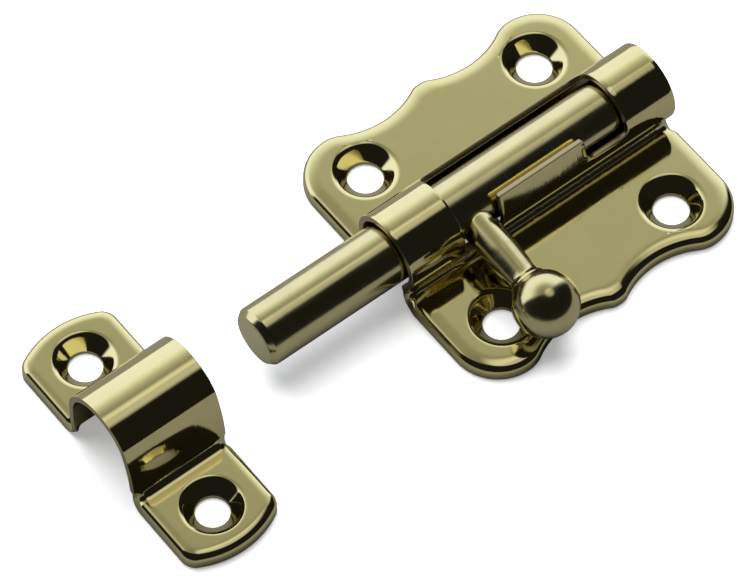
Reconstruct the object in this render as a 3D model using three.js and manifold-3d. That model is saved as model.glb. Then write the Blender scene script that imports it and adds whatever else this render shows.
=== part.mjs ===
// Small brass-plated barrel bolt with a separate keeper, in millimetres.
// +X is the direction the bolt is thrown, +Y is the side of the knob, +Z points away from the door.
// The mounting face is z = 0 and the origin is under the middle of the whole set.
import * as THREE from "three";
import { mergeVertices } from "three/addons/utils/BufferGeometryUtils.js";
import Module from "manifold-3d";

const wasm = await Module();
wasm.setup();

// Driving dimensions
const SHEET = 0.6; // thickness of the pressed brass sheet
const DECK = 1.65; // height of the plate's flat top above the door
const RIM_RADIUS = 1.0; // rounding of the rolled-down rim

const PLATE_HALF_LENGTH = 15.6;
const PLATE_HALF_WIDTH = 15.25; // at the tops of the lobes
const PLATE_CUSP = 15.3; // at the pointed middle of each long side
const LOBE_X = 10.9;
const CORNER_RADIUS = 4.7;
const SCALLOP_X = 5.0;
const SCALLOP_HALF_WIDTH = 13.68;
const PLATE_HOLE = 10.0; // the screw holes are at +-this in both X and Y
const PLATE_HOLE_RADIUS = 1.7;

const AXIS_HEIGHT = 5.2; // the rod's centre line above the door
const BARREL_RADIUS = 3.95; // outside
const NECK_FILLET = 0.7; // where the barrel meets the deck
const BARREL_ENDS = [-15.25, 15.5]; // along X
const WINDOW_ENDS = [-9.7, 9.35];
const WINDOW_CUT_ANGLE = 27; // degrees above horizontal, on the side away from the knob
const REAR_NOTCH_FLOOR = 5.9;
const FRONT_NOTCH_FLOOR = 3.15;
const GUARD_HALF_LENGTH = 4.95;
const GUARD_TOP = 8.35;
const GUARD_LEAN = 0.62; // how far the guard's top leans in over the rod

const ROD_RADIUS = 2.95;
const ROD_REAR = -13.6;
const ROD_TIP = 30.4;
const ROD_CHAMFER_LENGTH = 0.6;
const ROD_CHAMFER_DEPTH = 0.5;

const STEM_ROOT = new THREE.Vector3(6.85, 0, AXIS_HEIGHT);
const BALL_CENTRE = new THREE.Vector3(7.35, 12.95, 4.9);
const BALL_RADIUS = 3.15;
const STEM_ROOT_RADIUS = 1.7;
const STEM_NECK_RADIUS = 1.5;
const ROD_SADDLE_GAP = 0.15; // between the rod and the stem's hollowed foot

const KEEPER_X = 42.35; // from the middle of the plate to the middle of the keeper
const KEEPER_HALF_WIDTH = 5.1;
const KEEPER_HALF_LENGTH = 14.2;
const KEEPER_END_RADIUS = 8.8;
const KEEPER_HOLE = 9.5;
const KEEPER_HOLE_RADIUS = 1.6;
const LOOP_RADIUS = 4.7; // outside, about the rod's centre line
const LOOP_SHOULDER_ANGLE = 47; // degrees from straight up, where the arch ends on the knob's side
const LOOP_SHOULDER_RADIUS = 0.8;
const LOOP_WALL_LEAN = 12; // degrees from upright, of the wall below the shoulder
const LOOP_FILLET = 0.7; // at the foot of the upright wall
const LOOP_WIDE_FILLET = 1.0; // at the foot of the leaning wall

const ARC_STEP = 9; // degrees of arc between two outline points
const HAIR = 0.01; // keeps two faces that would lie in one plane apart

const brass = new THREE.MeshStandardMaterial({ color: 0xb9ab6b, roughness: 0.18, metalness: 1 });
const wornBrass = new THREE.MeshStandardMaterial({ color: 0xa69a62, roughness: 0.3, metalness: 1 });

const radians = THREE.MathUtils.degToRad;
const degrees = THREE.MathUtils.radToDeg;

// Solids

function solid(geometry) {
  const bare = geometry.clone();
  bare.deleteAttribute("normal");
  bare.deleteAttribute("uv");
  const merged = mergeVertices(bare, 1e-4);
  const triangles = [];
  const index = merged.index.array;
  for (let i = 0; i < index.length; i += 3) {
    const [a, b, c] = index.slice(i, i + 3);
    if (a !== b && b !== c && c !== a) triangles.push(a, b, c);
  }
  return new wasm.Manifold(
    new wasm.Mesh({
      numProp: 3,
      vertProperties: new Float32Array(merged.attributes.position.array),
      triVerts: new Uint32Array(triangles),
    }),
  );
}

function meshOf(name, body, material) {
  const { vertProperties, triVerts } = body.getMesh();
  const geometry = new THREE.BufferGeometry();
  geometry.setAttribute("position", new THREE.BufferAttribute(vertProperties, 3));
  geometry.setIndex(new THREE.BufferAttribute(triVerts, 1));
  geometry.computeVertexNormals();
  const mesh = new THREE.Mesh(geometry, material);
  mesh.name = name;
  return mesh;
}

function box([x0, x1], [y0, y1], [z0, z1]) {
  const block = new THREE.BoxGeometry(x1 - x0, y1 - y0, z1 - z0);
  return solid(block.translate((x0 + x1) / 2, (y0 + y1) / 2, (z0 + z1) / 2));
}

// A shape drawn in Y and Z, extruded along X.
function prismAlongX(points, xLow, xHigh) {
  const depth = xHigh - xLow;
  const geometry = new THREE.ExtrudeGeometry(new THREE.Shape(points), { depth, bevelEnabled: false });
  const toWorld = new THREE.Matrix4().makeBasis(
    new THREE.Vector3(0, 1, 0),
    new THREE.Vector3(0, 0, 1),
    new THREE.Vector3(1, 0, 0),
  );
  return solid(geometry.applyMatrix4(toWorld).translate(xLow, 0, 0));
}

// A body of revolution about +Z, from [radius, height] pairs.
function turned(profile, segments) {
  const points = profile.map(([radius, height]) => new THREE.Vector2(radius, height));
  return new THREE.LatheGeometry(points, segments).rotateX(Math.PI / 2);
}

// Outlines

// Points of an arc, from one angle to another in degrees, both ends included.
function arc(x, y, radius, from, to) {
  const steps = Math.max(2, Math.ceil(Math.abs(to - from) / ARC_STEP));
  const points = [];
  for (let i = 0; i <= steps; i++) {
    const angle = radians(from + ((to - from) * i) / steps);
    points.push(new THREE.Vector2(x + radius * Math.cos(angle), y + radius * Math.sin(angle)));
  }
  return points;
}

// Drops each point that coincides with the one before it.
function withoutRepeats(points) {
  return points.filter((p, i) => i === 0 || p.distanceTo(points[i - 1]) > 1e-3);
}

// A quarter outline repeated in all four quadrants, counter-clockwise from the +X side.
function mirroredFourTimes(quarter) {
  const flipped = (sx, sy) => quarter.map((p) => new THREE.Vector2(sx * p.x, sy * p.y));
  return withoutRepeats([
    ...flipped(1, 1),
    ...flipped(-1, 1).reverse(),
    ...flipped(-1, -1),
    ...flipped(1, -1).reverse(),
  ]);
}

// The butterfly outline of the plate, moved in by an inset.
function plateOutline(inset) {
  // The scallop passes through the cusp and is deepest at SCALLOP_X.
  const rise = PLATE_CUSP - SCALLOP_HALF_WIDTH;
  const scallopRadius = (SCALLOP_X ** 2 + rise ** 2) / (2 * rise);
  const scallopY = SCALLOP_HALF_WIDTH + scallopRadius;
  // The lobe touches both the scallop and the line y = PLATE_HALF_WIDTH.
  const across = LOBE_X - SCALLOP_X;
  const above = scallopY - PLATE_HALF_WIDTH;
  const lobeRadius = (across ** 2 + above ** 2 - scallopRadius ** 2) / (2 * (scallopRadius - above));
  const lobeY = PLATE_HALF_WIDTH - lobeRadius;
  const contact = degrees(Math.atan2(scallopY - lobeY, -across));
  const widened = scallopRadius + inset;
  const cuspAngle = degrees(Math.atan2(-Math.sqrt(widened ** 2 - SCALLOP_X ** 2), -SCALLOP_X));
  return mirroredFourTimes([
    ...arc(LOBE_X, PLATE_HALF_WIDTH - CORNER_RADIUS, CORNER_RADIUS - inset, 0, 90),
    ...arc(LOBE_X, lobeY, lobeRadius - inset, 90, contact),
    ...arc(SCALLOP_X, scallopY, widened, contact - 180, cuspAngle),
  ]);
}

// The keeper's outline: a straight strip with shallow round ends, moved in by an inset.
function keeperOutline(inset) {
  const radius = KEEPER_END_RADIUS - inset;
  const corner = degrees(Math.acos((KEEPER_HALF_WIDTH - inset) / radius));
  return mirroredFourTimes(arc(0, KEEPER_HALF_LENGTH - KEEPER_END_RADIUS, radius, corner, 90));
}

// Pressed sheet

// A block with the given outline, rounded over at its top, that runs on below the mounting face.
function roundedBlock(outline, top, radius) {
  const depth = top + 2;
  const geometry = new THREE.ExtrudeGeometry(new THREE.Shape(outline), {
    depth,
    bevelThickness: radius,
    bevelSize: radius,
    bevelOffset: -radius,
    bevelSegments: 4,
  });
  return solid(geometry.translate(0, 0, top - depth - radius));
}

// A shallow pan, open underneath, with its rim rolled down to the mounting face.
function pan(outlineOf) {
  const outside = roundedBlock(outlineOf(0), DECK, RIM_RADIUS);
  const inside = roundedBlock(outlineOf(SHEET), DECK - SHEET, RIM_RADIUS - SHEET);
  const reach = [-40, 40];
  return outside.subtract(inside).subtract(box(reach, reach, [-10, 0]));
}

// A strip of sheet that follows a path in Y and Z. The path is its outer face, and it runs
// over the top towards +Y, so the sheet lies on its right.
function sheetStrip(path, xLow, xHigh) {
  const rightOf = (from, to) => new THREE.Vector2(to.y - from.y, from.x - to.x).normalize();
  const inner = path.map((point, i) => {
    const before = rightOf(path[Math.max(i - 1, 0)], path[Math.max(i, 1)]);
    const last = path.length - 1;
    const after = rightOf(path[Math.min(i, last - 1)], path[Math.min(i + 1, last)]);
    const inward = before.clone().add(after).normalize();
    return point.clone().addScaledVector(inward, SHEET / inward.dot(before));
  });
  return prismAlongX([...path, ...inner.reverse()], xLow, xHigh);
}

// A pressed countersink: a plug that joins the deck to the mounting face, and its cutter.
function countersink(x, y, holeRadius) {
  const land = 0.25; // height of the straight part of the hole
  const under = DECK - SHEET;
  const mouth = holeRadius + DECK - land;
  const base = holeRadius + SHEET * Math.SQRT2 - land;
  const plug = [
    [0, 0],
    [base, 0],
    [base + under, under],
    [base + under, under + SHEET / 2],
    [0, under + SHEET / 2],
  ];
  const cutter = [
    [0, -1],
    [holeRadius, -1],
    [holeRadius, land],
    [mouth - 0.25, DECK - 0.25],
    [mouth + 0.15, DECK - 0.04],
    [mouth + 0.6, DECK + 0.1],
    [0, DECK + 0.1],
  ];
  const place = (profile) => solid(turned(profile, 32).translate(x, y, 0));
  return { plug: place(plug), cutter: place(cutter) };
}

function pressCountersinks(sheet, centres, holeRadius) {
  let pressed = sheet;
  for (const [x, y] of centres) {
    const { plug, cutter } = countersink(x, y, holeRadius);
    pressed = pressed.add(plug).subtract(cutter);
  }
  return pressed;
}

// Back plate with its barrel

// Cuts the window out of the barrel, with a notch at each end for the knob's stem.
function cutWindow(barrel) {
  const far = 8;
  const cut = radians(WINDOW_CUT_ANGLE);
  const opening = [
    new THREE.Vector2(0, AXIS_HEIGHT),
    new THREE.Vector2(0, REAR_NOTCH_FLOOR),
    new THREE.Vector2(far, REAR_NOTCH_FLOOR),
    new THREE.Vector2(far, AXIS_HEIGHT + far),
    new THREE.Vector2(-far * Math.cos(cut), AXIS_HEIGHT + far),
    new THREE.Vector2(-far * Math.cos(cut), AXIS_HEIGHT + far * Math.sin(cut)),
  ];
  const window = prismAlongX(opening, ...WINDOW_ENDS);
  const notchEnds = [GUARD_HALF_LENGTH, WINDOW_ENDS[1]];
  const notch = box(notchEnds, [0, far], [FRONT_NOTCH_FLOOR, AXIS_HEIGHT + far]);
  return barrel.subtract(window).subtract(notch);
}

// The flap between the notches, which stands up beside the rod and leans in over it.
function guard() {
  const foot = REAR_NOTCH_FLOOR - 0.5; // overlaps the barrel's wall
  const footY = BARREL_RADIUS - 0.02;
  const topY = footY - GUARD_LEAN;
  const section = [
    new THREE.Vector2(footY, foot),
    new THREE.Vector2(topY, GUARD_TOP),
    new THREE.Vector2(topY - SHEET, GUARD_TOP - 0.1),
    new THREE.Vector2(footY - SHEET + 0.04, foot),
  ];
  return prismAlongX(section, -GUARD_HALF_LENGTH, GUARD_HALF_LENGTH);
}

function backPlate() {
  const drop = (AXIS_HEIGHT - DECK - NECK_FILLET) / (BARREL_RADIUS + NECK_FILLET);
  const neck = degrees(Math.asin(drop));
  const filletY = (BARREL_RADIUS + NECK_FILLET) * Math.cos(radians(neck));
  const filletZ = DECK + NECK_FILLET - HAIR;
  // Up from the deck, round the rod and back down to the deck
  const section = withoutRepeats([
    new THREE.Vector2(-filletY - SHEET, DECK - HAIR),
    ...arc(-filletY, filletZ, NECK_FILLET, -90, neck),
    ...arc(0, AXIS_HEIGHT, BARREL_RADIUS, 180 + neck, -neck),
    ...arc(filletY, filletZ, NECK_FILLET, 180 - neck, 270),
    new THREE.Vector2(filletY + SHEET, DECK - HAIR),
  ]);
  const barrel = cutWindow(sheetStrip(section, ...BARREL_ENDS));
  const slot = box([-20, 20], [-filletY, filletY], [-1, DECK + 1]);
  const sheet = pan(plateOutline).subtract(slot).add(barrel).add(guard());
  const centres = [-1, 1].flatMap((i) => [-1, 1].map((j) => [i * PLATE_HOLE, j * PLATE_HOLE]));
  return pressCountersinks(sheet, centres, PLATE_HOLE_RADIUS);
}

// Rod

function boltRod() {
  const tip = [ROD_RADIUS - ROD_CHAMFER_DEPTH, ROD_TIP];
  const tail = [ROD_RADIUS - ROD_CHAMFER_DEPTH / 2, ROD_REAR];
  const profile = [
    [0, ROD_REAR],
    tail,
    [ROD_RADIUS, ROD_REAR + ROD_CHAMFER_DEPTH / 2],
    [ROD_RADIUS, ROD_TIP - ROD_CHAMFER_LENGTH],
    tip,
    [0, ROD_TIP],
  ];
  return solid(turned(profile, 48).rotateY(Math.PI / 2).translate(0, 0, AXIS_HEIGHT));
}

// Knob: one turned piece, a stem that ends in a ball

function knob() {
  const reach = BALL_CENTRE.distanceTo(STEM_ROOT);
  const neckHeight = reach - Math.sqrt(BALL_RADIUS ** 2 - STEM_NECK_RADIUS ** 2);
  const neckAngle = degrees(Math.asin(STEM_NECK_RADIUS / BALL_RADIUS));
  const foot = 1.9; // inside the rod's radius, so that the saddle below cuts it all away
  const profile = [
    [0, foot],
    [STEM_ROOT_RADIUS, foot],
    [STEM_ROOT_RADIUS - 0.05, neckHeight - 3],
    [STEM_NECK_RADIUS + 0.08, neckHeight - 0.5],
    ...arc(0, reach, BALL_RADIUS, neckAngle - 90, 85).map((p) => [p.x, p.y]),
    [0, reach + BALL_RADIUS],
  ];
  const direction = BALL_CENTRE.clone().sub(STEM_ROOT).normalize();
  const turn = new THREE.Quaternion().setFromUnitVectors(new THREE.Vector3(0, 0, 1), direction);
  const blank = solid(turned(profile, 32).applyQuaternion(turn).translate(...STEM_ROOT));
  const radius = ROD_RADIUS + ROD_SADDLE_GAP;
  const saddle = new THREE.CylinderGeometry(radius, radius, 12, 64).rotateZ(Math.PI / 2);
  return blank.subtract(solid(saddle.translate(STEM_ROOT.x, 0, AXIS_HEIGHT)));
}

// Keeper: a strip with two feet and an arch that is concentric with the rod

function keeper() {
  const shoulder = 90 - LOOP_SHOULDER_ANGLE;
  const bend = LOOP_RADIUS - LOOP_SHOULDER_RADIUS;
  const bendY = bend * Math.cos(radians(shoulder));
  const bendZ = AXIS_HEIGHT + bend * Math.sin(radians(shoulder));
  const lean = radians(LOOP_WALL_LEAN);
  // The wide fillet touches the leaning wall and the deck.
  const wideZ = DECK + LOOP_WIDE_FILLET - HAIR;
  const offset = LOOP_SHOULDER_RADIUS + LOOP_WIDE_FILLET;
  const wideY = bendY + (offset + (bendZ - wideZ) * Math.sin(lean)) / Math.cos(lean);
  const uprightY = -LOOP_RADIUS - LOOP_FILLET;
  const section = withoutRepeats([
    new THREE.Vector2(uprightY - SHEET, DECK - HAIR),
    ...arc(uprightY, DECK + LOOP_FILLET - HAIR, LOOP_FILLET, -90, 0),
    ...arc(0, AXIS_HEIGHT, LOOP_RADIUS, 180, shoulder),
    ...arc(bendY, bendZ, LOOP_SHOULDER_RADIUS, shoulder, LOOP_WALL_LEAN),
    ...arc(wideY, wideZ, LOOP_WIDE_FILLET, 180 + LOOP_WALL_LEAN, 270),
    new THREE.Vector2(wideY + SHEET, DECK - HAIR),
  ]);
  const arch = sheetStrip(section, -KEEPER_HALF_WIDTH, KEEPER_HALF_WIDTH);
  const gap = box([-20, 20], [uprightY, wideY], [-1, DECK + 1]);
  const feet = pan(keeperOutline).subtract(gap);
  const centres = [-1, 1].map((side) => [0, side * KEEPER_HOLE]);
  return pressCountersinks(feet.add(arch), centres, KEEPER_HOLE_RADIUS);
}

// The set, with its origin under the middle of its bounding box

const set = new THREE.Group();
const keeperEnd = KEEPER_X + KEEPER_HALF_WIDTH;
const ballEdge = BALL_CENTRE.y + BALL_RADIUS;
set.position.set((PLATE_HALF_LENGTH - keeperEnd) / 2, (PLATE_CUSP - ballEdge) / 2, 0);
set.add(meshOf("back_plate", backPlate(), brass));
set.add(meshOf("bolt_rod", boltRod(), wornBrass));
set.add(meshOf("knob", knob(), wornBrass));
const keeperMesh = meshOf("keeper", keeper(), brass);
keeperMesh.position.x = KEEPER_X;
set.add(keeperMesh);

const latch = new THREE.Group();
latch.add(set);
export default latch;
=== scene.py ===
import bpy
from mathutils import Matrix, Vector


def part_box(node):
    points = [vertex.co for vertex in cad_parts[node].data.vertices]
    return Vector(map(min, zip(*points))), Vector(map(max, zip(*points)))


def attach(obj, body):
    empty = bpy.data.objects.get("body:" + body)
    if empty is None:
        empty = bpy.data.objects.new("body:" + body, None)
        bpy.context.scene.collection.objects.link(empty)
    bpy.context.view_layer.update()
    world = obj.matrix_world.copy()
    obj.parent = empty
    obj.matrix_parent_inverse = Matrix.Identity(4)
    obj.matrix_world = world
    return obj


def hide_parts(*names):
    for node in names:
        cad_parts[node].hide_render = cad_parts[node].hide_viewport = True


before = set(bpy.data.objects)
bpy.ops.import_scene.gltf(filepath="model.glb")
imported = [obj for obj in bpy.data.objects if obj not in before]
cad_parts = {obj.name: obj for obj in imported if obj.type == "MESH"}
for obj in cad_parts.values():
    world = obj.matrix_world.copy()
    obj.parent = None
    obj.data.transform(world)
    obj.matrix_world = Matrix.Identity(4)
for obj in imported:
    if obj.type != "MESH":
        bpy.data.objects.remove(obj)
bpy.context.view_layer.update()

# Small brass-plated barrel bolt with a separate keeper. Shapes are in millimetres, with X along
# the rod, Y towards the knob and Z away from the door. The plate, rod and knob are measured from
# under the middle of the plate, and the keeper from under its own middle. Materials, floors,
# lights and the camera are in metres.
import math

import bpy
import numpy as np
from mathutils import Vector
from mathutils.geometry import delaunay_2d_cdt

MM = 0.001

SHEET = 0.6  # sheet thickness
DECK = 1.65  # height of the flat top
RIM_RADIUS = 0.75  # the tight part of the rolled-down rim
RIM_SHOULDER = math.radians(14)  # how far the deck slopes before the tight part starts
PLATE_CROWN = 1.05  # length of that slope on the plate
KEEPER_CROWN = 0.55
CUT_EDGE = 0.07  # rounding of every sheared edge

PLATE_END = 15.6
PLATE_HALF_WIDTH = 15.25  # at the lobes
LOBE_X = 10.9  # where the lobes are widest
CORNER_RADIUS = 4.7
SCALLOP_X = 5.0  # where the scallops are deepest
SCALLOP_HALF_WIDTH = 13.68
PLATE_CUSP = 15.3  # half width at the point between two scallops
CUSP_SOFTENING = 0.9
PLATE_HOLE = 10.0  # X and Y of the screw holes
PLATE_HOLE_RADIUS = 1.7
PLATE_LIP = 0.9  # rounding of the countersinks' mouths
PLATE_SEAM = 4.5  # where the barrel's strip meets the deck

AXIS_HEIGHT = 5.2
BARREL_RADIUS = 3.95
NECK_FILLET = 0.7
BARREL_ENDS = (-15.25, 15.5)

WINDOW_ENDS = (-9.7, 9.35)
WINDOW_CUT = -63  # its far side. This and the floors are degrees from the barrel's top
REAR_NOTCH_FLOOR = 79.8
FRONT_NOTCH_FLOOR = 121
GUARD_END = 4.95
GUARD_HEIGHT = 2.53
GUARD_LEAN = 17.9  # degrees inwards at its middle, less than the barrel's round would give
GUARD_TWIST = 0.12  # degrees less lean for each millimetre towards the front

KEEPER_HALF_WIDTH = 5.1
KEEPER_HALF_LENGTH = 14.2
KEEPER_END_RADIUS = 8.8
KEEPER_CORNER_SOFTENING = 0.8
KEEPER_HOLE = 9.5
KEEPER_HOLE_RADIUS = 1.6
KEEPER_LIP = 0.8
KEEPER_SEAMS = (-5.66, 5.9)
LOOP_RADIUS = 4.685  # the round part of the keeper's arch

ROD_RADIUS = 2.95
ROD_ENDS = (-13.6, 30.4)

STEM_ROOT = np.array([6.85, 0, AXIS_HEIGHT])  # on the rod's centre line
STEM_RADIUS = 1.7
NECK_TO_BALL = 2.77  # from the flare under the ball to the ball's centre
COLLAR_RADIUS = 1.9  # where the stem flares into the ball
BALL_CENTRE = np.array([7.35, 12.95, 4.9])
BALL_RADIUS = 3.145
SADDLE_RADIUS = ROD_RADIUS + 0.04  # the stem's foot is hollowed to this
SADDLE_EDGE = 0.03  # softening of the foot's edge

# How finely the shapes are cut up
BEND_DEGREES = 9
BEND_STEPS = 1200
ROLL_STEPS = 30
STRIP_STEPS = 64
SHOULDER_ROWS = 25
BARREL_ROWS = 90
ARCH_ROWS = 110
MOUTH_STEPS = 96
SOFT_STEPS = 5
ROD_STEPS = 160
KNOB_STEPS = 128
BALL_STEPS = 56


# ---------------------------------------------------------------- outlines

def arc(x, y, radius, start, end, steps):
    """Points of an arc between two angles in degrees, both ends included."""
    angle = np.radians(np.linspace(start, end, steps + 1))
    return np.stack([x + radius * np.cos(angle), y + radius * np.sin(angle)], 1)


def line(a, b, steps):
    """Points of a straight stretch, both ends included."""
    return np.linspace(a, b, steps + 1)


def chain(*parts):
    """Joins point lists that share their end points."""
    return np.concatenate([parts[0]] + [part[1:] for part in parts[1:]])


def softened(points, corner, reach):
    """Rounds the corner of an open outline at the given index, within a distance of it."""
    away = np.linalg.norm(points - points[corner], axis=1)
    smooth = points.copy()
    near = np.clip(1 - away / reach, 0, 1)[:, None]
    for _ in range(30):
        middle = (np.roll(smooth, 1, 0) + np.roll(smooth, -1, 0)) / 2
        smooth += near * (middle - smooth)
    smooth[[0, -1]] = points[[0, -1]]
    return smooth


def rounded(corners, step=0.2):
    """A closed outline from corners and their radii, its straight stretches cut into steps."""
    radii = [corner[2] for corner in corners]
    corners = np.array([corner[:2] for corner in corners], float)
    count = len(corners)
    bends = []
    for i in range(count):
        here = corners[i]
        back = corners[i - 1] - here
        on = corners[(i + 1) % count] - here
        back /= np.linalg.norm(back)
        on /= np.linalg.norm(on)
        half = math.acos(np.clip(back @ on, -1, 1)) / 2
        reach = radii[i] / math.tan(half)
        middle = (back + on) / np.linalg.norm(back + on)
        centre = here + middle * radii[i] / math.sin(half)
        first = here + back * reach - centre
        last = here + on * reach - centre
        turn = math.atan2(first[0] * last[1] - first[1] * last[0], first @ last)
        pieces = max(3, int(abs(turn) * 180 / math.pi / BEND_DEGREES))
        angles = np.linspace(0, turn, pieces + 1)
        c, s = np.cos(angles), np.sin(angles)
        x = c * first[0] - s * first[1]
        y = s * first[0] + c * first[1]
        bends.append(centre + np.stack([x, y], 1))
    points = []
    for i in range(count):
        points.append(bends[i])
        a, b = bends[i][-1], bends[(i + 1) % count][0]
        pieces = max(1, int(np.linalg.norm(b - a) / step))
        points.append(line(a, b, pieces)[1:-1])
    return np.concatenate(points)


def plate_rim(inset):
    """The plate's outline on the knob's side, from the +X end to the -X end, moved inwards."""
    rise = PLATE_CUSP - SCALLOP_HALF_WIDTH
    scallop = (SCALLOP_X**2 + rise**2) / (2 * rise)
    scallop_y = SCALLOP_HALF_WIDTH + scallop
    across = LOBE_X - SCALLOP_X
    above = scallop_y - PLATE_HALF_WIDTH
    lobe = (across**2 + above**2 - scallop**2) / (2 * (scallop - above))
    lobe_y = PLATE_HALF_WIDTH - lobe
    contact = math.degrees(math.atan2(scallop_y - lobe_y, -across))
    wide = scallop + inset
    cusp = math.degrees(math.atan2(-math.sqrt(wide**2 - SCALLOP_X**2), -SCALLOP_X))
    corner_y = PLATE_HALF_WIDTH - CORNER_RADIUS
    end = PLATE_END - inset
    half = chain(
        line((end, PLATE_SEAM), (end, corner_y), 24),
        arc(LOBE_X, corner_y, CORNER_RADIUS - inset, 0, 90, 40),
        arc(LOBE_X, lobe_y, lobe - inset, 90, contact, 20),
        arc(SCALLOP_X, scallop_y, wide, contact - 180, cusp, 44),
    )
    other = half[::-1][1:] * (-1, 1)
    return softened(np.concatenate([half, other]), len(half) - 1, CUSP_SOFTENING)


def keeper_rim(seam):
    """A function of the inset that gives one foot's outline, from the +X side to the -X side."""
    steps = 50

    def outline(inset):
        radius = KEEPER_END_RADIUS - inset
        side = KEEPER_HALF_WIDTH - inset
        corner = math.degrees(math.acos(side / radius))
        centre = KEEPER_HALF_LENGTH - KEEPER_END_RADIUS
        corner_y = centre + radius * math.sin(math.radians(corner))
        half = chain(
            line((side, seam), (side, corner_y), steps),
            arc(0, centre, radius, corner, 90, 40),
        )
        whole = np.concatenate([half, half[::-1][1:] * (-1, 1)])
        for at in (steps, len(whole) - 1 - steps):
            whole = softened(whole, at, KEEPER_CORNER_SOFTENING)
        return whole

    return outline


# ---------------------------------------------------------------- sections

class Section:
    """A path of lines and arcs in Y and Z. The sheet's outer face is on its left."""

    def __init__(self, pieces):
        self.pieces = []
        start = 0.0
        for piece in pieces:
            if piece[0] == "line":
                length = math.dist(piece[1], piece[2])
            else:
                length = piece[2] * abs(math.radians(piece[4] - piece[3]))
            self.pieces.append((start, start + length, piece))
            start += length
        self.length = start

    def at(self, s):
        """Points and unit normals at lengths s."""
        s = np.asarray(s, float)
        point = np.zeros(s.shape + (2,))
        normal = np.zeros(s.shape + (2,))
        for number, (start, end, piece) in enumerate(self.pieces):
            last = number == len(self.pieces) - 1
            here = (s >= start) if last else (s >= start) & (s < end)
            if number == 0:
                here |= s < start
            t = ((s[here] - start) / (end - start))[..., None]
            if piece[0] == "line":
                a, b = np.array(piece[1], float), np.array(piece[2], float)
                along = (b - a) / np.linalg.norm(b - a)
                point[here] = a + t * (b - a)
                normal[here] = (-along[1], along[0])
            else:
                centre, radius, first, final = piece[1:]
                angle = np.radians(first + t * (final - first))
                out = np.concatenate([np.cos(angle), np.sin(angle)], -1)
                point[here] = np.array(centre) + radius * out
                normal[here] = out if final < first else -out
        return point, normal


def barrel_section():
    """The barrel on its neck, with a fillet down to the deck on each side."""
    drop = (AXIS_HEIGHT - DECK - NECK_FILLET) / (BARREL_RADIUS + NECK_FILLET)
    neck = math.degrees(math.asin(drop))
    foot = (BARREL_RADIUS + NECK_FILLET) * math.cos(math.radians(neck))
    level = DECK + NECK_FILLET
    return Section([
        ("line", (-PLATE_SEAM, DECK), (-foot, DECK)),
        ("arc", (-foot, level), NECK_FILLET, -90, neck),
        ("arc", (0, AXIS_HEIGHT), BARREL_RADIUS, 180 + neck, -neck),
        ("arc", (foot, level), NECK_FILLET, 180 - neck, 270),
        ("line", (foot, DECK), (PLATE_SEAM, DECK)),
    ])


def toward(degrees):
    """The unit vector at an angle from +Y towards +Z."""
    return np.array([math.cos(math.radians(degrees)), math.sin(math.radians(degrees))])


def keeper_section():
    """The arch is round on top, then a narrow flat, a crease and a slightly bulging wall."""
    top, flat, wall, foot = 57, 41, 22, 3  # where the outer face looks, in degrees from +Y
    knee, crease, wide = 1.3, 1.2, 1.0  # radii over the flat, under it and at the wall's foot
    flat_width = 0.9
    fillet = 0.7  # radius at the foot of the other wall
    knee_at = toward(top) * (LOOP_RADIUS - knee) + (0, AXIS_HEIGHT)
    flat_start = knee_at + knee * toward(flat)
    flat_end = flat_start + flat_width * toward(flat - 90)
    crease_at = flat_end - crease * toward(flat)
    wall_top = crease_at + crease * toward(wall)
    wide_z = DECK + wide
    drop = wall_top[1] - (wide_z - wide * math.sin(math.radians(foot)))
    bulge = drop / (math.sin(math.radians(wall)) - math.sin(math.radians(foot)))
    bulge_at = wall_top - bulge * toward(wall)
    wall_foot = bulge_at + bulge * toward(foot)
    wide_y = wall_foot[0] + wide * math.cos(math.radians(foot))
    return Section([
        ("line", (KEEPER_SEAMS[0], DECK), (-LOOP_RADIUS - fillet, DECK)),
        ("arc", (-LOOP_RADIUS - fillet, DECK + fillet), fillet, -90, 0),
        ("line", (-LOOP_RADIUS, DECK + fillet), (-LOOP_RADIUS, AXIS_HEIGHT)),
        ("arc", (0, AXIS_HEIGHT), LOOP_RADIUS, 180, top),
        ("arc", knee_at, knee, top, flat),
        ("line", flat_start, flat_end),
        ("arc", crease_at, crease, flat, wall),
        ("arc", bulge_at, bulge, wall, foot),
        ("arc", (wide_y, wide_z), wide, 180 + foot, 270),
        ("line", (wide_y, DECK), (KEEPER_SEAMS[1], DECK)),
    ])


# ---------------------------------------------------------------- sheet metal

def bend(bent, crown, wall):
    """The course of a rim: how far out, how far down and how steep it is, at fine steps."""
    tight = RIM_RADIUS * (math.pi / 2 - RIM_SHOULDER) * bent
    length = crown + tight + wall
    fine = np.linspace(0, length, BEND_STEPS + 1)
    gentle = RIM_SHOULDER * bent * np.clip(fine / crown, 0, 1)
    slope = gentle + np.clip((fine - crown) / RIM_RADIUS, 0, tight / RIM_RADIUS)
    middle = (slope[1:] + slope[:-1]) / 2
    step = length / BEND_STEPS
    out = np.concatenate([[0], np.cumsum(np.cos(middle)) * step])
    down = np.concatenate([[0], np.cumsum(np.sin(middle)) * step])
    return fine, out, down, slope


def roll(bent, crown):
    """Across a rim: distance from the end plane, depth under the deck and slope, outwards.
    bent is 1 for a rim rolled down to the door and 0 for one left flat."""
    _, out, down, _ = bend(1.0, crown, 0.0)
    wall = DECK - down[-1]
    flat = out[-1] - crown
    fine, out, down, slope = bend(bent, crown, flat + (wall - flat) * bent)
    along = np.linspace(0, fine[-1], ROLL_STEPS + 1)
    out, down, slope = (np.interp(along, fine, v) for v in (out, down, slope))
    return out[-1] - out, down, slope


WELD_GRID = 1e4  # points that round to the same place on a grid this fine are one point
WELD_SHIFT = 0.137  # keeps round numbers off the borders of that grid's cells


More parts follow.
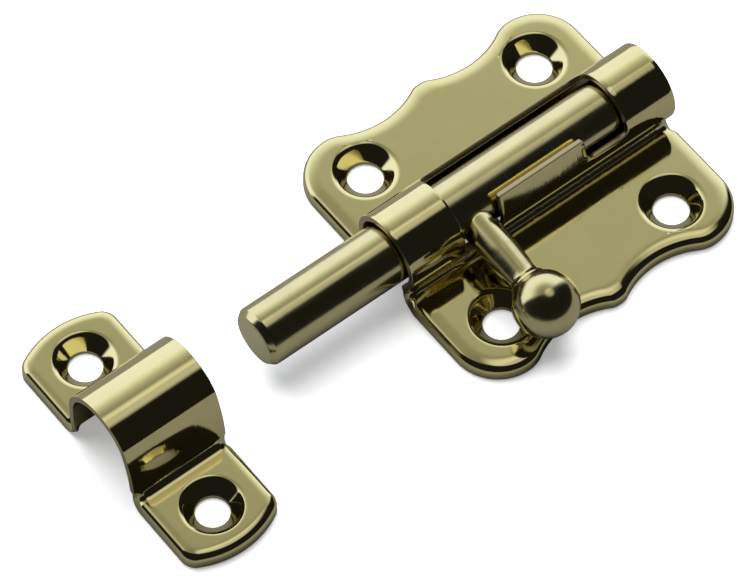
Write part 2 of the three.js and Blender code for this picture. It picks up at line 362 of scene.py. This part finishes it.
class Sheet:
    """A pressed sheet, gathered as patches of an outer and an inner face."""

    def __init__(self):
        self.outer, self.inner, self.faces, self.count = [], [], [], 0

    def add(self, outer, inner, faces):
        self.outer.append(outer)
        self.inner.append(inner)
        self.faces += [tuple(i + self.count for i in face) for face in faces]
        self.count += len(outer)

    def add_grid(self, outer, inner, closed=False):
        rows, columns = outer.shape[:2]
        faces = []
        for i in range(rows - 1):
            for j in range(columns if closed else columns - 1):
                a, b = i * columns + j, i * columns + (j + 1) % columns
                faces.append((a, b, b + columns, a + columns))
        self.add(outer.reshape(-1, 3), inner.reshape(-1, 3), faces)

    def welded(self):
        """Outer and inner points, each place only once, and the faces of the outer side."""
        outer, inner = np.concatenate(self.outer), np.concatenate(self.inner)
        key = np.round(outer * WELD_GRID + WELD_SHIFT).astype(np.int64)
        _, first, same = np.unique(key, axis=0, return_index=True, return_inverse=True)
        same = same.reshape(-1)
        outer, inner = outer[first], inner[first]
        through = outer - inner
        faces = []
        for face in self.faces:
            loop = [same[i] for i in face]
            loop = [v for i, v in enumerate(loop) if v != loop[i - 1]]
            if len(loop) < 3:
                continue
            p = outer[loop]
            normal = np.cross(p[1] - p[0], p[2] - p[0])
            if len(loop) == 4:
                normal += np.cross(p[2] - p[0], p[3] - p[0])
            if normal @ through[loop].sum(0) < 0:
                loop.reverse()
            faces.append(loop)
        return outer, inner, faces

    def solid(self):
        """Vertices and faces of the closed sheet with its cut edges rounded, and the number of the
        first vertex of those edges."""
        outer, inner, faces = self.welded()
        through = outer - inner
        used = dict.fromkeys((loop[i - 1], b) for loop in faces for i, b in enumerate(loop))
        free = [(a, b) for a, b in used if (b, a) not in used]
        outward = np.zeros_like(outer)
        for a, b in free:
            side = np.cross(outer[b] - outer[a], through[a] + through[b])
            side /= np.linalg.norm(side) + 1e-12
            outward[a] += side
            outward[b] += side
        rim = sorted({a for a, _ in free})
        at = {v: i for i, v in enumerate(rim)}
        side = outward[rim] / np.linalg.norm(outward[rim], axis=1)[:, None]
        top, bottom = outer[rim], inner[rim]
        gap = np.linalg.norm(bottom - top, axis=1)[:, None]
        down = (bottom - top) / gap
        edge = np.minimum(CUT_EDGE, 0.3 * gap)
        half = math.sqrt(0.5)
        upper = top - edge * side + edge * down
        lower = bottom - edge * side - edge * down
        rows = [
            upper + edge * half * (side - down),
            upper + edge * side,
            lower + edge * side,
            lower + edge * half * (side + down),
        ]
        outer[rim] = upper - edge * down
        inner[rim] = lower + edge * down
        number = len(outer)
        vertices = np.concatenate([outer, inner, *rows])
        result = [tuple(loop) for loop in faces]
        result += [tuple(v + number for v in reversed(loop)) for loop in faces]

        def index(row, v):
            """Number of a border vertex in a row of the rounded edge, from outer to inner face."""
            if row == 0:
                return v
            if row == len(rows) + 1:
                return v + number
            return 2 * number + (row - 1) * len(rim) + at[v]

        for a, b in free:
            for row in range(len(rows) + 1):
                result.append((index(row, b), index(row, a), index(row + 1, a), index(row + 1, b)))
        return vertices, result, 2 * number


def inside(points, loop):
    """Which points lie inside a closed outline."""
    x, y = points[:, 0], points[:, 1]
    crossed = np.zeros(len(points), bool)
    for (x0, y0), (x1, y1) in zip(loop, np.roll(loop, -1, 0)):
        if y0 == y1:
            continue
        hit = (y0 > y) != (y1 > y)
        crossed ^= hit & (x < (x1 - x0) * (y - y0) / (y1 - y0) + x0)
    return crossed


BORDER_BLOCK = 100  # border points compared with the grid at one time
MERGE_WITHIN = 1e-6


def fill(loops, spacing, clearance):
    """Triangles of the area inside the first outline and outside the others. Points are spaced
    on a grid and keep clear of the outlines."""
    low, high = loops[0].min(0), loops[0].max(0)
    steps = np.maximum(((high - low) / spacing).astype(int), 2)
    axes = [np.linspace(low[i], high[i], steps[i] + 1)[1:-1] for i in (0, 1)]
    grid = np.stack(np.meshgrid(*axes, indexing="ij"), -1).reshape(-1, 2)
    keep = inside(grid, loops[0])
    for loop in loops[1:]:
        keep &= ~inside(grid, loop)
    grid = grid[keep]
    border = np.concatenate(loops)
    nearest = np.full(len(grid), np.inf)
    for start in range(0, len(border), BORDER_BLOCK):
        block = border[start : start + BORDER_BLOCK]
        apart = np.linalg.norm(grid[:, None] - block[None], axis=2).min(1)
        nearest = np.minimum(nearest, apart)
    points = np.concatenate([border, grid[nearest > clearance]])
    edges, start = [], 0
    for loop in loops:
        count = len(loop)
        edges += [(start + i, start + (i + 1) % count) for i in range(count)]
        start += count
    made = delaunay_2d_cdt([Vector(p) for p in points], edges, [], 0, MERGE_WITHIN, True)
    where = np.array([points[ids[0]] if ids else tuple(v) for v, ids in zip(made[0], made[3])])
    triangles = np.array([f for f in made[2] if len(f) == 3])
    middle = where[triangles].mean(1)
    keep = inside(middle, loops[0])
    for loop in loops[1:]:
        keep &= ~inside(middle, loop)
    return where, triangles[keep].tolist()


def add_deck(sheet, loop, circles):
    """The flat top between its outline and the mouths of the countersinks."""
    where, triangles = fill([loop, *circles], spacing=(0.4, 0.4), clearance=0.16)
    outer = np.column_stack([where, np.full(len(where), DECK)])
    sheet.add(outer, outer - (0, 0, SHEET), triangles)


LAND = 0.42  # height of the straight part of a screw hole
LAND_ROUNDING = 0.12  # where the cone meets the straight part
UNDER_LIP = 0.96  # rounding under the deck, and how far it reaches along the deck and aside
UNDER_REACH = 0.4
UNDER_DROP = 0.28
UNDER_FOOT = 0.24  # rounding where the cone's underside meets the door
MOUTH_MARGIN = 0.05  # width of the flat ring round the mouth


def add_countersink(sheet, x, y, hole_radius, lip):
    """A pressed countersink of 90 degrees, its mouth rounded with the radius lip. Returns the
    circle of points where it meets the deck."""
    corner = hole_radius + DECK - LAND
    reach = lip * math.tan(math.radians(22.5))
    start = corner + reach + MOUTH_MARGIN
    drop = reach * math.sqrt(0.5)
    top = chain(
        np.array([(start, DECK), (corner + reach, DECK)]),
        arc(corner + reach, DECK - lip, lip, 90, 135, 14),
        line((corner - drop, DECK - drop), (hole_radius + 0.1, LAND + 0.1), 8),
        arc(
            hole_radius + LAND_ROUNDING,
            LAND - LAND_ROUNDING * (math.sqrt(2) - 1),
            LAND_ROUNDING, 135, 180, 4,
        ),
        line((hole_radius, LAND - 0.05), (hole_radius, CUT_EDGE), 2),
    )
    foot = hole_radius + SHEET * math.sqrt(2) - LAND
    under = DECK - SHEET
    below = chain(
        np.array([(start, under), (foot + under + UNDER_REACH, under)]),
        arc(foot + under + UNDER_REACH, under - UNDER_LIP, UNDER_LIP, 90, 135, 14),
        line((foot + under - UNDER_DROP, under - UNDER_DROP), (foot + 0.1, 0.1), 8),
        arc(foot + 0.1 - UNDER_FOOT, UNDER_FOOT, UNDER_FOOT, 315, 270, 4),
        line((foot - 0.14, 0.0), (hole_radius + CUT_EDGE, 0.0), 2),
    )
    angle = np.linspace(0, 2 * math.pi, MOUTH_STEPS, endpoint=False)
    c, s = np.cos(angle), np.sin(angle)

    def spin(profile):
        r, z = profile[:, :1], profile[:, 1:]
        return np.stack([x + r * c, y + r * s, np.broadcast_to(z, (len(r), len(angle)))], -1)

    sheet.add_grid(spin(top), spin(below), closed=True)
    return np.stack([x + start * c, y + start * s], 1)


def add_rim(sheet, outline, side, crown):
    """The rolled-down rim along an outline. side is 1 on the knob's side and -1 on the other."""
    back, down, slope = roll(1.0, crown)
    flip = np.array([1, side])
    outer, inner = [], []
    for inset, depth, angle in zip(back, down, slope):
        ring = outline(inset) * flip
        outer.append(np.column_stack([ring, np.full(len(ring), DECK - depth)]))
        ring = outline(inset + SHEET * math.sin(angle)) * flip
        level = DECK - depth - SHEET * math.cos(angle)
        inner.append(np.column_stack([ring, np.full(len(ring), level)]))
    sheet.add_grid(np.array(outer), np.array(inner))
    return outline(back[0]) * flip


def strip_rows(section, lengths, bents, flat_ends, rolled_ends, crown):
    """Rows of a strip whose two ends go from flat to rolled down."""
    point, normal = section.at(lengths)
    outer, inner = [], []
    for (y, z), (ny, nz), bent in zip(point, normal, bents):
        back, down, slope = roll(bent, crown)
        low = flat_ends[0] + (rolled_ends[0] - flat_ends[0]) * bent
        high = flat_ends[1] + (rolled_ends[1] - flat_ends[1]) * bent
        middle = np.linspace(low + back[0], high - back[0], STRIP_STEPS + 1)[1:-1]
        x = np.concatenate([(low + back)[::-1], middle, high - back])
        none = np.zeros(len(middle))
        depth = np.concatenate([down[::-1], none, down])
        tilt = np.concatenate([-slope[::-1], none, slope])
        p = np.stack([x, y - depth * ny, z - depth * nz], 1)
        n = np.stack([np.sin(tilt), np.cos(tilt) * ny, np.cos(tilt) * nz], 1)
        outer.append(p)
        inner.append(p - SHEET * n)
    return np.array(outer), np.array(inner)


def ease(t):
    """From 0 to 1, starting and ending gently."""
    t = np.clip(t, 0, 1)
    return t * t * (3 - 2 * t)


ROLL_PACE = 1.1  # the ends are rolled right down a little before the seam


def shoulder(section, first, last, side):
    """Lengths along a section from its arch to one seam, and how far the ends are rolled there."""
    t = np.linspace(0, 1, SHOULDER_ROWS + 1)
    if side < 0:
        lengths = first * (1 - t)
    else:
        lengths = last + (section.length - last) * t
    return lengths, ease(t * ROLL_PACE)


def add_barrel(sheet, section, first, last, seams):
    """The barrel with its window and guard, laid out flat as X and the length along the section.
    first and last are the lengths where it starts, and seams the X of its points there."""
    top = (first + last) / 2

    def reach(angle):
        """Length along the section at an angle from straight up, towards the knob."""
        return top + BARREL_RADIUS * math.radians(angle)

    cut = reach(WINDOW_CUT)
    rear_floor = reach(REAR_NOTCH_FLOOR)
    front_floor = reach(FRONT_NOTCH_FLOOR)
    guard_top = rear_floor - GUARD_HEIGHT
    rear, front = WINDOW_ENDS
    window = rounded([  # X, length along the section and radius of each corner
        (rear, cut, 1.7),
        (front, cut, 1.7),
        (front, front_floor, 0.6),
        (GUARD_END, front_floor, 0.5),
        (GUARD_END, guard_top, 0.3),
        (-GUARD_END, guard_top, 0.3),
        (-GUARD_END, rear_floor, 0.9),
        (rear, rear_floor, 0.8),
    ])
    low, high = seams
    across = np.linspace(first, last, BARREL_ROWS)[1:-1]
    loop = np.concatenate([
        np.column_stack([low, np.full(len(low), first)]),
        np.column_stack([np.full(len(across), low[-1]), across]),
        np.column_stack([high, np.full(len(high), last)])[::-1],
        np.column_stack([np.full(len(across), high[0]), across[::-1]]),
    ])
    where, triangles = fill([loop, window], spacing=(0.45, 0.2), clearance=0.14)
    x, s = where.T
    point, normal = section.at(s)
    beside = (WINDOW_ENDS[1] - GUARD_END) / 2  # half the width of a notch
    guard = (s < rear_floor) & (s > guard_top - 0.2) & (np.abs(x) < GUARD_END + beside)
    foot, _ = section.at(rear_floor)
    lean = np.radians(GUARD_LEAN - GUARD_TWIST * x[guard])
    up = np.column_stack([-np.sin(lean), np.cos(lean)])
    point[guard] = foot + (rear_floor - s[guard])[:, None] * up
    normal[guard] = np.column_stack([np.cos(lean), np.sin(lean)])
    outer = np.column_stack([x, point])
    sheet.add(outer, outer - SHEET * np.column_stack([np.zeros(len(x)), normal]), triangles)


def make_plate():
    """The back plate and the barrel, one sheet."""
    section = barrel_section()
    first, last = section.pieces[1][1], section.pieces[2][1]
    ends = (-PLATE_END, PLATE_END)
    sheet = Sheet()
    seams = []
    for side in (-1, 1):
        lengths, bents = shoulder(section, first, last, side)
        outer, inner = strip_rows(section, lengths, bents, BARREL_ENDS, ends, PLATE_CROWN)
        sheet.add_grid(outer, inner)
        seams.append(outer[0][:, 0])
        rim = add_rim(sheet, plate_rim, side, PLATE_CROWN)
        seam = outer[-1][ROLL_STEPS:-ROLL_STEPS, :2]
        circles = [
            add_countersink(sheet, x, side * PLATE_HOLE, PLATE_HOLE_RADIUS, PLATE_LIP)
            for x in (-PLATE_HOLE, PLATE_HOLE)
        ]
        add_deck(sheet, np.concatenate([rim, seam[1:-1]]), circles)
    add_barrel(sheet, section, first, last, seams)
    return sheet.solid()


def make_keeper():
    """The arched keeper, one strip of the same sheet."""
    section = keeper_section()
    first, last = section.pieces[1][1], section.pieces[-2][0]
    ends = (-KEEPER_HALF_WIDTH, KEEPER_HALF_WIDTH)
    sheet = Sheet()
    arch = np.linspace(first, last, ARCH_ROWS)
    outer, inner = strip_rows(section, arch, np.zeros(len(arch)), ends, ends, KEEPER_CROWN)
    sheet.add_grid(outer, inner)
    for side, seam_y in zip((-1, 1), KEEPER_SEAMS):
        lengths, bents = shoulder(section, first, last, side)
        outer, inner = strip_rows(section, lengths, bents, ends, ends, KEEPER_CROWN)
        sheet.add_grid(outer, inner)
        rim = add_rim(sheet, keeper_rim(abs(seam_y)), side, KEEPER_CROWN)
        seam = outer[-1][ROLL_STEPS:-ROLL_STEPS, :2]
        circle = add_countersink(sheet, 0, side * KEEPER_HOLE, KEEPER_HOLE_RADIUS, KEEPER_LIP)
        add_deck(sheet, np.concatenate([rim, seam[1:-1]]), [circle])
    return sheet.solid()


# ---------------------------------------------------------------- turned pieces

def softened_profile(corners, reaches):
    """An open profile whose inner corners are rounded, each within its own distance."""
    corners = np.array(corners, float)
    points = [corners[:1]]
    for i in range(1, len(corners) - 1):
        here = corners[i]
        back = corners[i - 1] - here
        on = corners[i + 1] - here
        back /= np.linalg.norm(back)
        on /= np.linalg.norm(on)
        a, b = here + back * reaches[i - 1], here + on * reaches[i - 1]
        t = np.linspace(0, 1, SOFT_STEPS + 1)[:, None]
        points.append(a * (1 - t) ** 2 + 2 * here * t * (1 - t) + b * t**2)
    points.append(corners[-1:])
    return np.concatenate(points)


def turned_faces(rings, steps):
    """Faces of a turned body whose vertices are its two poles and then its rings, one by one."""

    def vertex(i, j):
        return 2 + i * steps + j % steps

    faces = []
    for j in range(steps):
        faces.append((0, vertex(0, j + 1), vertex(0, j)))
        faces.append((1, vertex(rings - 1, j), vertex(rings - 1, j + 1)))
        for i in range(rings - 1):
            faces.append((vertex(i, j), vertex(i, j + 1), vertex(i + 1, j + 1), vertex(i + 1, j)))
    return faces


def make_rod():
    """A round bar with a softened rear end and a small chamfer at the tip."""
    rear, tip = ROD_ENDS
    profile = softened_profile(
        [
            (0, rear), (1.2, rear), (ROD_RADIUS - 0.25, rear), (ROD_RADIUS, rear + 0.25),
            (ROD_RADIUS, rear + 1.5), (ROD_RADIUS, tip - 3), (ROD_RADIUS, tip - 0.62),
            (ROD_RADIUS - 0.48, tip), (1.2, tip), (0, tip),
        ],
        [0.1, 0.08, 0.1, 0.3, 0.3, 0.14, 0.12, 0.1],
    )
    vertices = [(rear, 0, AXIS_HEIGHT), (tip, 0, AXIS_HEIGHT)]
    for radius, x in profile[1:-1]:
        for a in np.linspace(0, 2 * math.pi, ROD_STEPS, endpoint=False):
            vertices.append((x, radius * math.cos(a), AXIS_HEIGHT + radius * math.sin(a)))
    return np.array(vertices), turned_faces(len(profile) - 2, ROD_STEPS)


def make_knob():
    """The tapered stem, its foot hollowed to the rod, and the ball. Heights are along the stem."""
    reach = np.linalg.norm(BALL_CENTRE - STEM_ROOT)
    along = (BALL_CENTRE - STEM_ROOT) / reach
    across = np.cross(along, (0, 0, 1))
    across /= np.linalg.norm(across)
    upward = np.cross(across, along)
    neck = reach - NECK_TO_BALL
    stem = softened_profile(
        [
            (STEM_RADIUS, 0), (1.68, neck - 4), (1.52, neck - 0.75), (1.55, neck - 0.35),
            (1.86, neck + 0.02), (COLLAR_RADIUS, neck + 0.2),
        ],
        [0.3, 0.2, 0.15, 0.1],
    )
    ball_start = math.degrees(math.asin(COLLAR_RADIUS / BALL_RADIUS)) - 90
    ball = arc(0, reach, BALL_RADIUS, ball_start, 90, BALL_STEPS)
    angle = np.linspace(0, 2 * math.pi, KNOB_STEPS, endpoint=False)

    def place(radius, a, height):
        out = math.cos(a) * across + math.sin(a) * upward
        return STEM_ROOT + along * height + out * radius

    def saddle_height(radius, a):
        """Height at which this line along the stem leaves the rod."""
        low, high = 0.0, 6.0
        for _ in range(40):
            mid = (low + high) / 2
            p = place(radius, a, mid)
            if math.hypot(p[1], p[2] - AXIS_HEIGHT) < SADDLE_RADIUS:
                low = mid
            else:
                high = mid
        return high

    foot = [(STEM_RADIUS * share, 0) for share in (0.25, 0.5, 0.75, 0.93)]
    foot.append((STEM_RADIUS - SADDLE_EDGE, SADDLE_EDGE))
    foot += [(STEM_RADIUS, rise) for rise in (0.12, 0.4, 0.8, 1.3)]
    vertices = [place(0, 0, saddle_height(0, 0)), place(0, 0, reach + BALL_RADIUS)]
    for radius, rise in foot:
        vertices += [place(radius, a, saddle_height(radius, a) + rise) for a in angle]
    profile = np.concatenate([stem[1:], ball[1:-1]])
    for radius, height in profile:
        vertices += [place(radius, a, height) for a in angle]
    # place() runs round the stem the other way from the rod's rings, so the faces are turned over
    faces = turned_faces(len(foot) + len(profile), KNOB_STEPS)
    return np.array(vertices), [(first, *reversed(others)) for first, *others in faces]


# ---------------------------------------------------------------- materials

PIT_COLOUR = (0.16, 0.12, 0.07, 1)
SHEARED_COLOUR = (0.42, 0.35, 0.19, 1)
SHEARED_ROUGHNESS = 0.34
DRAWN_BAND = ((0.172, 0), (0.2, 1), (0.25, 1), (0.3, 0))  # height in centimetres, and share
CENTIMETRES = 100.0  # in a metre


def set_stops(ramp, stops):
    """Puts positions and colours, from low to high, on a colour ramp."""
    elements = ramp.color_ramp.elements
    for element, (position, colour) in zip(elements, (stops[0], stops[-1])):
        element.position = position
        element.color = (*colour, 1)
    for position, colour in stops[1:-1]:
        elements.new(position).color = (*colour, 1)


def brass(name, *, colours, roughness, wave, grain, scratch, pitting, drag):
    """Bright brass plating. colours and roughness are pairs that the surface varies between.
    grain is the scale of the fine marks, drawn out along X where its first number is small.
    wave, scratch, pitting and drag say how strong the waviness, the fine marks, the dark pits
    and the streaks of the fillets are."""
    material = bpy.data.materials.new(name)
    material.use_nodes = True
    tree = material.node_tree
    tree.nodes.clear()
    add = tree.nodes.new
    link = tree.links.new
    output = add("ShaderNodeOutputMaterial")
    shader = add("ShaderNodeBsdfPrincipled")
    shader.inputs["Metallic"].default_value = 1.0
    link(shader.outputs["BSDF"], output.inputs["Surface"])
    where = add("ShaderNodeTexCoord")

    def noise(scale, stretch=(1, 1, 1), detail=3.0, rough=0.55):
        mapping = add("ShaderNodeMapping")
        mapping.inputs["Scale"].default_value = stretch
        link(where.outputs["Object"], mapping.inputs["Vector"])
        node = add("ShaderNodeTexNoise")
        node.inputs["Scale"].default_value = scale
        node.inputs["Detail"].default_value = detail
        node.inputs["Roughness"].default_value = rough
        link(mapping.outputs["Vector"], node.inputs["Vector"])
        return node.outputs["Fac"]

    def ramp(source, stops):
        node = add("ShaderNodeValToRGB")
        set_stops(node, stops)
        link(source, node.inputs["Fac"])
        return node.outputs["Color"]

    def grey(value):
        return (value, value, value)

    def mix(share, a, b):
        """From a to b as the share goes from 0 to 1. Each is a socket or a fixed colour."""
        node = add("ShaderNodeMix")
        node.data_type = "RGBA"
        ends = [socket for socket in node.inputs if socket.enabled and socket.name in ("A", "B")]
        link(share, next(x for x in node.inputs if x.enabled and x.name == "Factor"))
        for socket, value in zip(ends, (a, b)):
            if isinstance(value, tuple):
                socket.default_value = value
            else:
                link(value, socket)
        return next(x for x in node.outputs if x.enabled)

    sheared = add("ShaderNodeAttribute")
    sheared.attribute_name = "sheared"
    plating = ramp(noise(260), [(0.3, colours[0]), (0.7, colours[1])])
    specks = noise(3100, grain, detail=5.0, rough=0.75)
    pits = ramp(specks, [(0.68, grey(0)), (0.78, grey(pitting))])
    plating = mix(pits, plating, PIT_COLOUR)
    link(mix(sheared.outputs["Fac"], plating, SHEARED_COLOUR), shader.inputs["Base Color"])
    wear = noise(900, grain, detail=6.0, rough=0.7)
    marks = ramp(wear, [(0.3, grey(roughness[0])), (0.75, grey(roughness[1]))])
    dull = (*grey(SHEARED_ROUGHNESS), 1)
    link(mix(sheared.outputs["Fac"], marks, dull), shader.inputs["Roughness"])

    def bump(source, strength, distance, before=None):
        node = add("ShaderNodeBump")
        node.inputs["Strength"].default_value = strength
        node.inputs["Distance"].default_value = distance
        link(source, node.inputs["Height"])
        if before:
            link(before, node.inputs["Normal"])
        return node.outputs["Normal"]

    normal = bump(noise(170, detail=1.0), wave, 0.00002)
    normal = bump(noise(1400, grain, detail=4.0, rough=0.65), scratch, 0.000006, normal)
    height = add("ShaderNodeSeparateXYZ")
    link(where.outputs["Object"], height.inputs["Vector"])
    fillet = add("ShaderNodeFloatCurve")
    points = fillet.mapping.curves[0].points
    points[0].location = (0, 0)
    points[1].location = (1, 0)
    for at, value in DRAWN_BAND:
        points.new(at, value)
    fillet.mapping.update()
    centimetres = add("ShaderNodeMath")
    centimetres.operation = "MULTIPLY"
    centimetres.inputs[1].default_value = CENTIMETRES
    link(height.outputs["Z"], centimetres.inputs[0])
    link(centimetres.outputs["Value"], fillet.inputs["Value"])
    drawn = add("ShaderNodeMath")
    drawn.operation = "MULTIPLY"
    link(noise(3000, (1, 0.05, 0.05), detail=2.0), drawn.inputs[0])
    link(fillet.outputs["Value"], drawn.inputs[1])
    normal = bump(drawn.outputs["Value"], drag, 0.0001, normal)
    link(normal, shader.inputs["Normal"])
    return material


SHEET_BRASS = brass(
    "sheet_brass",
    colours=((0.735, 0.655, 0.325), (0.765, 0.69, 0.35)),
    roughness=(0.05, 0.10),
    wave=0.3,
    grain=(1, 1, 1),
    scratch=0.22,
    pitting=0.5,
    drag=0.7,
)
ROD_BRASS = brass(
    "rod_brass",
    colours=((0.67, 0.605, 0.315), (0.74, 0.668, 0.345)),
    roughness=(0.10, 0.26),
    wave=0.5,
    grain=(0.1, 1, 1),
    scratch=1.0,
    pitting=0.9,
    drag=0.0,
)


# ---------------------------------------------------------------- pieces

def build(name, made, origin, material, body, node):
    """One piece. made is its vertices and faces and, for a sheet, its first sheared vertex."""
    vertices, faces, *sheared_from = made
    mesh = bpy.data.meshes.new(name)
    mesh.from_pydata((vertices * MM + np.array(origin)).tolist(), [], faces)
    mesh.materials.append(material)
    mesh.shade_smooth()
    sheared = np.zeros(len(vertices))
    for start in sheared_from:
        sheared[start:] = 1
    mesh.attributes.new("sheared", "FLOAT", "POINT").data.foreach_set("value", sheared)
    obj = bpy.data.objects.new(name, mesh)
    bpy.context.scene.collection.objects.link(obj)
    weighted = obj.modifiers.new("weighted", "WEIGHTED_NORMAL")
    weighted.mode = "FACE_AREA"
    weighted.weight = 50
    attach(obj, body)
    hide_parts(node)


def middle_of(node):
    """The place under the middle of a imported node, in metres."""
    low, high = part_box(node)
    return np.array([(low.x + high.x) / 2, (low.y + high.y) / 2, low.z])


plate_at = middle_of("back_plate")
keeper_at = middle_of("keeper")
build(
    "plate_and_barrel", make_plate(), plate_at, SHEET_BRASS, "plate", "back_plate"
)
build("sliding_rod", make_rod(), plate_at, ROD_BRASS, "rod", "bolt_rod")
build("ball_knob", make_knob(), plate_at, ROD_BRASS, "knob", "knob")
build("arched_keeper", make_keeper(), keeper_at, SHEET_BRASS, "keeper", "keeper")


# ---------------------------------------------------------------- studio

def direction(azimuth, elevation):
    """A unit vector. Azimuth runs from +X towards +Y, in degrees."""
    a, e = math.radians(azimuth), math.radians(elevation)
    return Vector((math.cos(a) * math.cos(e), math.sin(a) * math.cos(e), math.sin(e)))


def make_softbox():
    """A soft light that reaches only the floor, because it is hidden from reflections."""
    light = bpy.data.lights.new("key_softbox", "AREA")
    light.shape = "RECTANGLE"
    light.size = light.size_y = 1.4
    light.energy = 30
    obj = bpy.data.objects.new("key_softbox", light)
    obj.location = direction(250, 62) * 1.2
    obj.rotation_mode = "QUATERNION"
    obj.rotation_quaternion = obj.location.to_track_quat("Z", "Y")
    obj.visible_glossy = False
    bpy.context.scene.collection.objects.link(obj)


def square(name, level, grey, glow):
    """A large level square of one plain matte grey."""
    half = 3.0
    mesh = bpy.data.meshes.new(name)
    corners = [(-half, -half, 0), (half, -half, 0), (half, half, 0), (-half, half, 0)]
    mesh.from_pydata(corners, [], [(0, 1, 2, 3)])
    obj = bpy.data.objects.new(name, mesh)
    obj.location.z = level
    bpy.context.scene.collection.objects.link(obj)
    material = bpy.data.materials.new(name)
    material.use_nodes = True
    mesh.materials.append(material)
    shader = material.node_tree.nodes["Principled BSDF"]
    shader.inputs["Base Color"].default_value = (grey, grey, grey, 1)
    shader.inputs["Roughness"].default_value = 1.0
    shader.inputs["Specular IOR Level"].default_value = 0.0
    shader.inputs["Emission Color"].default_value = (1, 1, 1, 1)
    shader.inputs["Emission Strength"].default_value = glow
    return obj


def make_floors():
    """A plain pale floor, and just over it a plain grey one that is seen only in reflections."""
    pale = square("floor", level=-0.00006, grey=0.85, glow=0.35)
    pale.visible_glossy = False
    mirrored = square("mirrored_floor", level=-0.00002, grey=0.2, glow=0.0)
    mirrored.visible_camera = False
    mirrored.visible_diffuse = False
    mirrored.visible_shadow = False
    mirrored.visible_transmission = False


BACKDROP = 1.6  # strength that the colours below are divided by
BACKDROP_STOPS = [  # sine of the elevation, and the light from there
    (0.0, (1.12, 1.19, 1.45)),
    (0.58, (1.10, 1.17, 1.36)),
    (0.694, (0.90, 0.96, 0.97)),
    (0.777, (0.65, 0.685, 0.63)),
    (0.84, (0.47, 0.488, 0.44)),
    (0.891, (0.35, 0.357, 0.305)),
    (1.0, (0.2, 0.2, 0.18)),
]
BACKDROP_AZIMUTH = 260.5
BACKDROP_EDGE = (60, 71)  # degrees to each side between which it fades out
LAMP_DIRECTION = direction(185, 78)
LAMP_EDGE = (17, 8)  # degrees off its middle between which it grows to its full strength
LAMP_STRENGTH = 0.62
LAMP_COLOUR = (1, 1, 0.97, 1)
DARKNESS = 0.012  # a little light from everywhere


def make_studio():
    """What the metal mirrors: a bright backdrop behind the bolt that fades upwards, a small
    light overhead, and darkness on the knob's side."""
    world = bpy.data.worlds.new("studio")
    bpy.context.scene.world = world
    world.use_nodes = True
    tree = world.node_tree
    add, link = tree.nodes.new, tree.links.new
    where = add("ShaderNodeTexCoord").outputs["Generated"]

    def math_node(operation, a, b=None):
        """The result of an operation on one or two sockets or numbers."""
        node = add("ShaderNodeMath")
        node.operation = operation
        for socket, value in zip(node.inputs, (a, b)):
            if isinstance(value, (int, float)):
                socket.default_value = value
            elif value is not None:
                link(value, socket)
        return node.outputs["Value"]

    def smooth(value, low, high, first, last):
        """Goes gently from first to last as the value goes from low to high."""
        node = add("ShaderNodeMapRange")
        node.interpolation_type = "SMOOTHSTEP"
        node.inputs["From Min"].default_value = low
        node.inputs["From Max"].default_value = high
        node.inputs["To Min"].default_value = first
        node.inputs["To Max"].default_value = last
        link(value, node.inputs["Value"])
        return node.outputs["Result"]

    turned = add("ShaderNodeVectorRotate")
    turned.rotation_type = "Z_AXIS"
    turned.inputs["Angle"].default_value = -math.radians(BACKDROP_AZIMUTH)
    link(where, turned.inputs["Vector"])
    parts = add("ShaderNodeSeparateXYZ")
    link(turned.outputs["Vector"], parts.inputs["Vector"])
    aside = math_node("ABSOLUTE", math_node("ARCTAN2", parts.outputs["Y"], parts.outputs["X"]))
    sweep = smooth(aside, *map(math.radians, BACKDROP_EDGE), 1.0, 0.0)
    ramp = add("ShaderNodeValToRGB")
    set_stops(ramp, [(at, [c / BACKDROP for c in colour]) for at, colour in BACKDROP_STOPS])
    link(parts.outputs["Z"], ramp.inputs["Fac"])

    overhead = add("ShaderNodeVectorMath")
    overhead.operation = "DOT_PRODUCT"
    overhead.inputs[1].default_value = LAMP_DIRECTION
    link(where, overhead.inputs[0])
    outside, within = (math.cos(math.radians(angle)) for angle in LAMP_EDGE)
    spot = smooth(overhead.outputs["Value"], outside, within, 0.0, LAMP_STRENGTH)
    backdrop = add("ShaderNodeBackground")
    link(ramp.outputs["Color"], backdrop.inputs["Color"])
    link(math_node("MULTIPLY", sweep, BACKDROP), backdrop.inputs["Strength"])
    lamp = add("ShaderNodeBackground")
    link(math_node("ADD", spot, DARKNESS), lamp.inputs["Strength"])
    lamp.inputs["Color"].default_value = LAMP_COLOUR
    both = add("ShaderNodeAddShader")
    link(backdrop.outputs["Background"], both.inputs[0])
    link(lamp.outputs["Background"], both.inputs[1])
    link(both.outputs["Shader"], tree.nodes["World Output"].inputs["Surface"])


CAMERA_AT = (0.152924, 0.194294, 0.396941)  # this, the aim and the lens fit the photo
CAMERA_AIM = Vector((0.000909, -0.000211, 0))
SENSOR_WIDTH = 36
FOCAL_LENGTH = 246.76


def make_camera():
    """The camera, from the photo's angle."""
    lens = bpy.data.cameras.new("camera")
    lens.sensor_width = SENSOR_WIDTH
    lens.lens = FOCAL_LENGTH
    lens.clip_start, lens.clip_end = 0.05, 20
    camera = bpy.data.objects.new("camera", lens)
    bpy.context.scene.collection.objects.link(camera)
    camera.location = CAMERA_AT
    camera.rotation_mode = "QUATERNION"
    camera.rotation_quaternion = (CAMERA_AIM - camera.location).to_track_quat("-Z", "Y")
    bpy.context.scene.camera = camera


make_floors()
make_studio()
make_softbox()
make_camera()

scene = bpy.context.scene
scene.view_settings.view_transform = "Standard"
scene.view_settings.look = "None"
